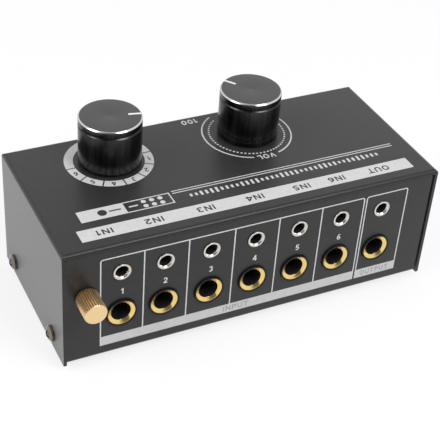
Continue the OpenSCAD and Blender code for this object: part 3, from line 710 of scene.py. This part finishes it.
# %% Bushings
bushing_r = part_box("mini_jack_bushings")[1].x - socket_at["out"][0]
bushing_rim_r = 2.65 * mm
bushing_cone_r, bushing_cone_depth = 2.2 * mm, 0.1 * mm
bushing_mouth = 1.6 * mm
# Inside this radius the bushing is painted dark as shade down the bore.
bushing_shaded_bore_r = 2.1 * mm
bushing_around = 72
bushing_finish = [lathe["bush_bright"], lathe["socket_inside"]]
bushing_front, bushing_back = reach_through("mini_jack_bushings")
bushing_z = middle("mini_jack_bushings")[2]
bushing_profile = [
    [bushing_r, bushing_front], [bushing_rim_r, bushing_front], [bushing_cone_r, bushing_cone_depth],
    [bore_r["mini_jack_1"], bushing_mouth], [bore_r["mini_jack_1"], bushing_back], [bushing_r, bushing_back]]
rings = [socket_ring(bushing_profile, bushing_shaded_bore_r, bushing_around, place[0], bushing_z)
         for place in socket_at.values()]
points, quads = joined([ring[:2] for ring in rings])
uv = np.vstack([ring[2] for ring in rings])
inside = np.concatenate([ring[3] for ring in rings])
bushings = make_piece("small_bushings", points, quads, bushing_finish, "case", uv, inside)
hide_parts("mini_jack_bushings")
print("volume of the bushings in mm3", round(volume_of(points, quads) / mm ** 3, 1))

# %% [markdown]
# ## Ink
# The graphics are screen printed: flat ink a few hundredths of a millimetre thick. They could
# be drawn in the paint's colour, but then their edges would blur close by. A line of ink is a
# small rectangle carried along a path in the plane of the face, closed at its ends. Its foot
# is sunk a hundredth of a millimetre into the paint, so that no gap shows from any side.

# %% Ink lines
ink_sink = 0.010 * mm
ink_rise = 0.030 * mm
hair = 0.001 * mm


def inked_line(path, width, closed=False, rise=ink_rise):
    """A rectangle carried along a plane path.

    At each point the sides lie along the mean of the two neighbouring normals, lengthened
    by one over the cosine of half the turn, so the line keeps its width round corners.
    """
    path = np.asarray(path, float)
    ahead = np.roll(path, -1, 0) - path
    if not closed:
        ahead[-1] = ahead[-2]
    ahead /= np.linalg.norm(ahead, axis=1, keepdims=True)
    behind = np.roll(ahead, 1, 0)
    if not closed:
        behind[0] = ahead[0]
    side = np.stack([-(ahead + behind)[:, 1], (ahead + behind)[:, 0]], -1)
    side *= width / np.einsum("ij,ij->i", side, side)[:, None]
    one, other = path + side, path - side
    low, high = np.full((len(path), 1), -ink_sink), np.full((len(path), 1), rise)
    grid = np.stack([np.c_[one, low], np.c_[other, low], np.c_[other, high], np.c_[one, high]], 1)
    steps = len(path) if closed else len(path) - 1
    i, j = np.meshgrid(np.arange(steps), np.arange(4), indexing="ij")
    i_next, j_next = (i + 1) % len(path), (j + 1) % 4
    quads = np.stack([i * 4 + j, i_next * 4 + j, i_next * 4 + j_next, i * 4 + j_next], -1).reshape(-1, 4)
    if not closed:
        last = 4 * steps
        quads = np.vstack([quads, [[0, 1, 2, 3]], [[last + 3, last + 2, last + 1, last]]])
    return grid.reshape(-1, 3), quads


test_line = inked_line([(0, 0), (4 * mm, 0)], 1 * mm)
print("volume of a line of 4 by 1 mm in mm3", round(volume_of(*test_line) / mm ** 3, 4))

# %% [markdown]
# ## Paths
# All print is made of arcs, straight bars, dots and borders with round corners. Curve objects
# could draw them, but as plain points they go straight into the line maker.

# %% Path makers
round_step = 15
dot_path_share, dot_pen_share = 0.51, 0.98


def arc(centre, radius, start, end, step=3.0):
    """Points on a circle from one angle to another, in degrees, no further apart than step."""
    count = max(2, int(math.ceil(abs(end - start) / step)) + 1)
    a = np.radians(np.linspace(start, end, count))
    return np.stack([centre[0] + radius * np.cos(a), centre[1] + radius * np.sin(a)], -1)


def bar(x0, x1, y, thickness, **how):
    """A straight line of ink along x."""
    return inked_line([(x0, y), (x1, y)], thickness, **how)


def disc(centre, radius, **how):
    """A filled dot: a circle of about half the radius, inked almost a full radius wide."""
    path = arc(centre, radius * dot_path_share, 0, 360 - round_step, round_step)
    return inked_line(path, radius * dot_pen_share, closed=True, **how)


def open_border(x0, x1, foot, head, corner):
    """A border open at its foot: up the left side, over two rounded corners, down the right."""
    over_left = arc((x0 + corner, head - corner), corner, 180, 90, round_step)
    over_right = arc((x1 - corner, head - corner), corner, 90, 0, round_step)
    return np.vstack([[(x0, foot)], over_left, over_right, [(x1, foot)]])


def way(degrees):
    """The unit vector at an angle from the x axis: its cosine and its sine."""
    return np.array([math.cos(math.radians(degrees)), math.sin(math.radians(degrees))])


print("an arc of 90 degrees has", len(arc((0, 0), 1, 0, 90)), "points")

# %% [markdown]
# ## Letters and figures
# The printed words are plain capitals and figures. A text object would bring a font's own
# shapes and many small faces, so each sign is a few strokes in a box one unit high, given as
# its width and its paths. The pen's width is set when a word is inked.


# %% Strokes
def oval(x, y, half_wide, half_high, start=0, end=360 - round_step):
    """Part of an ellipse about (x, y), by default all of it."""
    return arc((0, 0), 1, start, end, round_step) * [half_wide, half_high] + [x, y]


signs = {
    "0": (0.60, [oval(0.30, 0.5, 0.22, 0.41)]),
    "1": (0.40, [[(0.27, 0), (0.27, 1)], [(0.03, 0.70), (0.27, 0.92)]]),
    "2": (0.62, [[*oval(0.31, 0.68, 0.22, 0.23, 165, -35), (0.10, 0.12)], [(0.03, 0.09), (0.60, 0.09)]]),
    "3": (0.60, [oval(0.28, 0.70, 0.21, 0.21, 150, -90), oval(0.28, 0.30, 0.23, 0.21, 90, -150)]),
    "4": (0.66, [[(0.45, 0), (0.45, 1)], [(0.43, 0.95), (0.05, 0.32)], [(0.0, 0.29), (0.64, 0.29)]]),
    "5": (0.60, [[(0.54, 0.91), (0.12, 0.91)], [(0.15, 0.95), (0.11, 0.46)],
                 oval(0.28, 0.32, 0.23, 0.23, 140, -150)]),
    "6": (0.62, [oval(0.31, 0.31, 0.22, 0.22), oval(0.43, 0.34, 0.34, 0.57, 72, 178)]),
    "I": (0.20, [[(0.10, 0), (0.10, 1)]]),
    "L": (0.54, [[(0.09, 0), (0.09, 1)], [(0.05, 0.09), (0.54, 0.09)]]),
    "N": (0.70, [[(0.09, 0), (0.09, 1)], [(0.09, 0.95), (0.61, 0.05)], [(0.61, 0), (0.61, 1)]]),
    "O": (0.78, [oval(0.39, 0.5, 0.30, 0.41)]),
    "P": (0.62, [[(0.09, 0), (0.09, 1)],
                 [(0.05, 0.91), *oval(0.34, 0.70, 0.20, 0.21, 90, -90), (0.05, 0.49)]]),
    "T": (0.64, [[(0, 0.91), (0.64, 0.91)], [(0.32, 0.95), (0.32, 0)]]),
    "U": (0.68, [[(0.09, 1), *oval(0.34, 0.36, 0.25, 0.27, 180, 360), (0.59, 1)]]),
    "V": (0.70, [[(0.07, 1), (0.35, 0.03)], [(0.63, 1), (0.35, 0.03)]]),
}
closing_signs = "06O"
print("signs:", "".join(signs), "with a first stroke that closes:", closing_signs)

# %% [markdown]
# ## Words and where they lie
# A word is its signs side by side, centred on a point, and turned half round where it reads
# from the other side. Strokes that cross lie a thousandth of a millimetre apart in height, so
# that no two faces share a place. Print is laid out flat in two coordinates and then carried
# to the top or to the jack panel, which keeps the layout free of the third.

# %% Words
sign_gap = 0.16


def inked_words(text, height, centre, wide=1.0, turned=False, pen=0.18, rise=ink_rise):
    """Strokes of a word about a centre: pen is a share of the height, and wide stretches the signs."""
    length = sum(signs[sign][0] for sign in text) + sign_gap * (len(text) - 1)
    facing = -1 if turned else 1
    at = -length / 2
    bits = []
    for sign in text:
        width, strokes = signs[sign]
        for k, stroke in enumerate(strokes):
            flat = (np.array(stroke) + [at, -0.5]) * [height * wide, height]
            closed = k == 0 and sign in closing_signs
            bits.append(inked_line(facing * flat + centre, pen * height, closed, rise + k * hair))
        at += width + sign_gap
    return bits


def on_top(points):
    """From print coordinates (along, depth from the panel, height of ink) to the case's top."""
    return points + [0, panel_y, top_z]


def on_panel(points):
    """From print coordinates (along, height above the walls' foot, height of ink) to the jack panel."""
    return np.stack([points[:, 0], panel_y - points[:, 2], under_z + points[:, 1]], -1)


def printed(name, bits, place, ink):
    """Joins separate bits of ink of one colour into one piece on a face of the case."""
    points, quads = joined(bits)
    make_piece(name, place(points), quads, [ink], "case", smooth=False)
    print(name, "bits", len(bits), "quads", len(quads))


print("a word of three signs has", len(inked_words("OUT", 1 * mm, (0, 0))), "strokes")

# %% [markdown]
# ## Inks
# The inks are matt and even, apart from a faint mottle. Four are enough: white lines, the
# grey bands, and faint or dark words.

# %% Inks
ink_look = {"rough": (0.42, 0.54), "lump_mm": 0.30, "bump_mm": 0.006}
white_ink = plain_finish("white_ink", (0.63, 0.63, 0.635), (0.69, 0.69, 0.695), **ink_look)
grey_ink = plain_finish("grey_ink", (0.57, 0.57, 0.575), (0.62, 0.62, 0.625), **ink_look)
faint_ink = plain_finish("faint_ink", (0.31, 0.31, 0.315), (0.36, 0.36, 0.365), **ink_look)
dark_ink = plain_finish("dark_ink", (0.018, 0.018, 0.019), (0.026, 0.026, 0.027), **ink_look)
print("inks from", white_ink.name, "to", dark_ink.name)

# %% [markdown]
# ## Print on the jack panel
# A white border encloses the six inputs and another the output. Thin lines divide the
# columns, a grey band closes each border at its foot, and a number stands between the two
# sockets of each input. The lines lie a hair lower than the border that they meet.

# %% Panel print
line = 0.47 * mm
border_head = 44.25 * mm
border_foot = 5.3 * mm
border_corner = 0.9 * mm
band = 4.1 * mm
band_mid = border_foot + band / 2
band_rise = 0.022 * mm
input_span = (-61.2 * mm, 43.1 * mm)
output_span = (44.3 * mm, 62.1 * mm)
dividers = np.array([-45.1, -28.2, -10.3, 7.5, 25.2]) * mm
number_high = 2.5 * mm
number_z = 28.55 * mm
number_shift = 0.3 * mm
input_word_high, input_word_x = 2.3 * mm, -7.6 * mm
output_word_high, output_word_x = 2.2 * mm, 52.9 * mm

panel_white, panel_grey = [], []
for span in (input_span, output_span):
    panel_white += [inked_line(open_border(*span, border_foot, border_head, border_corner), line)]
    panel_grey += [bar(*span, band_mid, band, rise=band_rise)]
for x in dividers:
    panel_white += [inked_line([(x, border_foot + band), (x, border_head)], line, rise=ink_rise - hair)]
for name in column_names[:-1]:
    panel_white += inked_words(name, number_high, (socket_at[name][0] + number_shift, number_z))
panel_faint = inked_words("INPUT", input_word_high, (input_word_x, band_mid), wide=1.3)
panel_faint += inked_words("OUTPUT", output_word_high, (output_word_x, band_mid), wide=1.2)
printed("panel_lines", panel_white, on_panel, white_ink)
printed("panel_bands", panel_grey, on_panel, grey_ink)
printed("panel_words", panel_faint, on_panel, faint_ink)

# %% [markdown]
# ## Print on the top
# The top reads from the user's side, so its words stand upside down as seen from the
# jacks. A white strip names the columns. Behind it stand a double rule, a plain box that
# shows six dots leading to one, and a row of level bars. What is white is gathered in one
# list and what is dark in another, because each becomes one piece.

# %% Strip and rule
strip_from, strip_to = -65.8 * mm, 67.05 * mm
strip_y, strip_wide = 8.4 * mm, 6.45 * mm
rule_from, rule_to = -26.0 * mm, 67.0 * mm
rule_ys, rule_wide = (20.9 * mm, 22.15 * mm), 0.42 * mm
over_white = ink_rise + 0.012 * mm
strip_words = {"IN1": -56.6, "IN2": -38.2, "IN3": -18.4, "IN4": 1.0, "IN5": 20.2, "IN6": 35.0, "OUT": 53.2}
strip_word_high = 2.9 * mm

top_white = [bar(strip_from, strip_to, strip_y, strip_wide)]
top_white += [bar(rule_from, rule_to, y, rule_wide) for y in rule_ys]
top_dark = []
for text, x in strip_words.items():
    top_dark += inked_words(text, strip_word_high, (x * mm, strip_y), wide=1.3, turned=True,
                            pen=0.20, rise=over_white)
print("words on the strip:", len(strip_words))

# %% [markdown]
# ## Box and level bars
# One half of the box is filled, with a large dark dot and a dash, and the other is open, with
# six white dots and a dash. The level bars' heights follow the sum of two sine waves, which
# looks uneven without a list of heights.

# %% Box and bars
box_left, box_split, box_right = -62.3 * mm, -45.0 * mm, -27.3 * mm
box_foot, box_head = 15.5 * mm, 21.9 * mm
box_mid = (box_foot + box_head) / 2
box_low_line, box_high_line = box_foot + line / 2, box_head - line / 2
dot_xs = np.array([-31.2, -34.4, -37.6]) * mm
dot_aside, dot_r = 1.35 * mm, 0.95 * mm
dash_wide = 0.7 * mm
white_dash = (-40.2 * mm, -43.6 * mm)
dark_dash = (-51.0 * mm, -46.6 * mm)
dark_dot_x, dark_dot_r = -53.6 * mm, 1.7 * mm
level_xs = np.arange(-20.0, 58.6, 2.05)
level_highs = 2.2 + 0.55 * np.sin(level_xs * 0.41) + 0.35 * np.sin(level_xs * 1.13 + 0.8)
level_mid = 17.7
level_wide = 0.95 * mm

top_white += [bar(box_left, box_split, box_mid, box_head - box_foot)]
top_white += [inked_line([(box_split, box_low_line), (box_right, box_low_line),
                          (box_right, box_high_line), (box_split, box_high_line)], line)]
top_white += [disc((x, box_mid + y), dot_r) for x in dot_xs for y in (-dot_aside, dot_aside)]
top_white += [bar(*white_dash, box_mid, dash_wide)]
top_dark += [disc((dark_dot_x, box_mid), dark_dot_r, rise=over_white)]
top_dark += [bar(*dark_dash, box_mid, dash_wide, rise=over_white)]
for x, high in zip(level_xs, level_highs):
    ends = np.array([(x, level_mid - high / 2), (x, level_mid + high / 2)]) * mm
    top_white += [inked_line(ends, level_wide)]
print("level bars:", len(level_xs), "the highest", round(level_highs.max(), 2), "mm")

# %% [markdown]
# ## Source dial
# The source dial is a white ring with dark dividers and the numbers 1 to 6, one for each
# click of the switch. A ring is a closed arc with a wide pen. The print sits a few tenths of
# a millimetre off the knob's axis, as in the photograph.

# %% Source dial
source_dial = np.array([-39.6, 48.4]) * mm
dial_inner, dial_outer = 13.3 * mm, 16.7 * mm
dial_step = 3
sources, click = len(column_names) - 1, 30
first_divider, divider_wide = 1.5, 0.5 * mm
first_number, number_r = -14, 15.0 * mm
dial_number_high = 2.4 * mm

ring_path = arc(source_dial, (dial_inner + dial_outer) / 2, 0, 360 - dial_step, dial_step)
top_white += [inked_line(ring_path, dial_outer - dial_inner, closed=True)]
for k in range(sources + 1):
    out = way(first_divider - click * k)
    ends = [source_dial + out * dial_inner, source_dial + out * dial_outer]
    top_dark += [inked_line(ends, divider_wide, rise=over_white)]
for k in range(sources):
    spot = source_dial + number_r * way(first_number - click * k)
    top_dark += inked_words(str(k + 1), dial_number_high, spot, turned=True, rise=over_white)
print("bits of white:", len(top_white), "bits of dark:", len(top_dark))

# %% [markdown]
# ## Volume dial
# The volume dial is an open arc with a dotted arc inside it, broken where its name stands,
# and the figure 100 at its upper end. Each dot is a short arc of its own, so the dots bend
# with the circle.

# %% Volume dial
volume_dial = np.array([17.5, 48.4]) * mm
volume_arc_r, volume_arc_wide = 17.45 * mm, 0.6 * mm
volume_arcs = [(121, 253), (288, 418)]
dotted_r, dotted_wide = 14.8 * mm, 0.66 * mm
dotted_from = np.arange(124.5, 416, 5.8)
dotted_long = 3.2
name_high, name_place = 2.7 * mm, (17.4 * mm, 30.95 * mm)
full_high, full_place = 3.0 * mm, (-0.4 * mm, 62.9 * mm)

top_white += [inked_line(arc(volume_dial, volume_arc_r, a, b), volume_arc_wide) for a, b in volume_arcs]
top_white += [inked_line(arc(volume_dial, dotted_r, a, a + dotted_long), dotted_wide) for a in dotted_from]
top_white += inked_words("VOL", name_high, name_place, wide=1.15, turned=True, pen=0.20)
top_white += inked_words("100", full_high, full_place, wide=1.15, turned=True, pen=0.19)
printed("top_light_print", top_white, on_top, white_ink)
printed("top_dark_print", top_dark, on_top, dark_ink)

# %% [markdown]
# ## Pointers
# Each knob carries a white line from inside its face out over the bevel. On the real knob
# it is paint in a milled slot. A slot would break the turned ring's even grid, so here it is
# a bar of paint sunk into the shell, its top just above the turned face.

# %% Pointer lines
pointer_from = 6.6 * mm
pointer_wide = 1.05 * mm
pointer_sink = 0.15 * mm
white_paint = plain_finish("white_paint", (0.86, 0.86, 0.85), (0.93, 0.93, 0.92), (0.40, 0.52), 0.25, 0.005)


def pointer(name, degrees):
    """A bar of paint on a knob's face, from well inside the rim to the bevel."""
    low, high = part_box(name + "_knob")
    centre = knob_at[name][:2]
    pointer_to = (high.x - low.x) / 2 - bevel
    ends = [centre + way(degrees) * pointer_from, centre + way(degrees) * pointer_to]
    points, quads = inked_line(ends, pointer_wide, rise=0.0)
    points[:, 2] = np.where(points[:, 2] < 0, high.z - pointer_sink, high.z)
    piece = make_piece(name + "_pointer", points, quads, [white_paint], name, smooth=False)
    print(piece.name, "points towards", degrees, "degrees")


pointer("selector", -12)
pointer("volume", 127)

# %% [markdown]
# ## Finishes on the solids
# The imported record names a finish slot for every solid. Each solid that still shows takes
# the finish of its slot; a solid's shape and place are never touched. The two solid knobs
# are hidden by their turned shells, so a plain plated metal is enough for their slot.

# %% Assign
for row in record["subparts"]:
    solid = solids[row["node"]]
    solid.data.materials.clear()
    solid.data.materials.append(finishes.get(row["material_slot"], finishes["switch_metal"]))
print("solids dressed:", len(record["subparts"]))

# %% [markdown]
# ## Knurled brass
# The thumb nut is cut all round with fine grooves, and on its side the brass is painted
# darker the nearer a point lies to the nut's axis, as painted shade in the grooves. The
# distance from the axis is the length of the object coordinates across it. Baked ambient
# occlusion could find the grooves too, but this needs no bake. The flat end has no grooves and stays bright.

# %% Knurled finish
groove_shade, crest_shade = 0.2, 0.8
nut_grain_mm, nut_bump_mm = 0.16, 0.005
nut_rough = (0.35, 0.45)


def knurled_finish(name, axis_at, reach, groove_depth, end_y, deep, bright):
    """Brass painted deep at the grooves' floor as shade and bright at the crests, and bright before end_y."""
    material, tree, shader = new_finish(name, 1.0)
    place = tree.nodes.new("ShaderNodeTexCoord")
    across = tree.nodes.new("ShaderNodeVectorMath")
    across.operation = "MULTIPLY_ADD"
    across.inputs[1].default_value = (1, 0, 1)
    across.inputs[2].default_value = (-axis_at[0], 0, -axis_at[2])
    distance = tree.nodes.new("ShaderNodeVectorMath")
    distance.operation = "LENGTH"
    split = tree.nodes.new("ShaderNodeSeparateXYZ")
    tree.links.new(place.outputs["Object"], across.inputs[0])
    tree.links.new(across.outputs["Vector"], distance.inputs[0])
    tree.links.new(place.outputs["Object"], split.inputs["Vector"])
    # Painted shade: the colour darkens towards the grooves' floor, where the knurl lies in shade.
    depth = ranged(tree, distance.outputs["Value"], groove_shade, crest_shade, reach - groove_depth, reach)
    at_end = combined(tree, "LESS_THAN", split.outputs["Y"], end_y)
    drift(tree, shader, combined(tree, "MAXIMUM", at_end, depth), deep, bright)
    fine = grain(tree, nut_grain_mm, detail=fine_detail)
    polish(tree, shader, fine, *nut_rough)
    relief(tree, shader, fine, nut_bump_mm)
    return material


print("knurl shades from", groove_shade, "to", crest_shade)

# %% [markdown]
# ## Thumb nut
# The nut's own box gives its radius, its axis and its free end.

# %% Thumb nut
nut_low, nut_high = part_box("ground_thumb_nut")
nut_r = (nut_high.x - nut_low.x) / 2
knurl_depth = 0.4 * mm
nut_end = 0.4 * mm
knurled_brass = knurled_finish("knurled_brass", middle("ground_thumb_nut"), nut_r, knurl_depth,
                               nut_low.y + nut_end, (0.50, 0.32, 0.15), (0.86, 0.63, 0.35))
solids["ground_thumb_nut"].data.materials[0] = knurled_brass
print("nut radius in mm", round(nut_r / mm, 2))
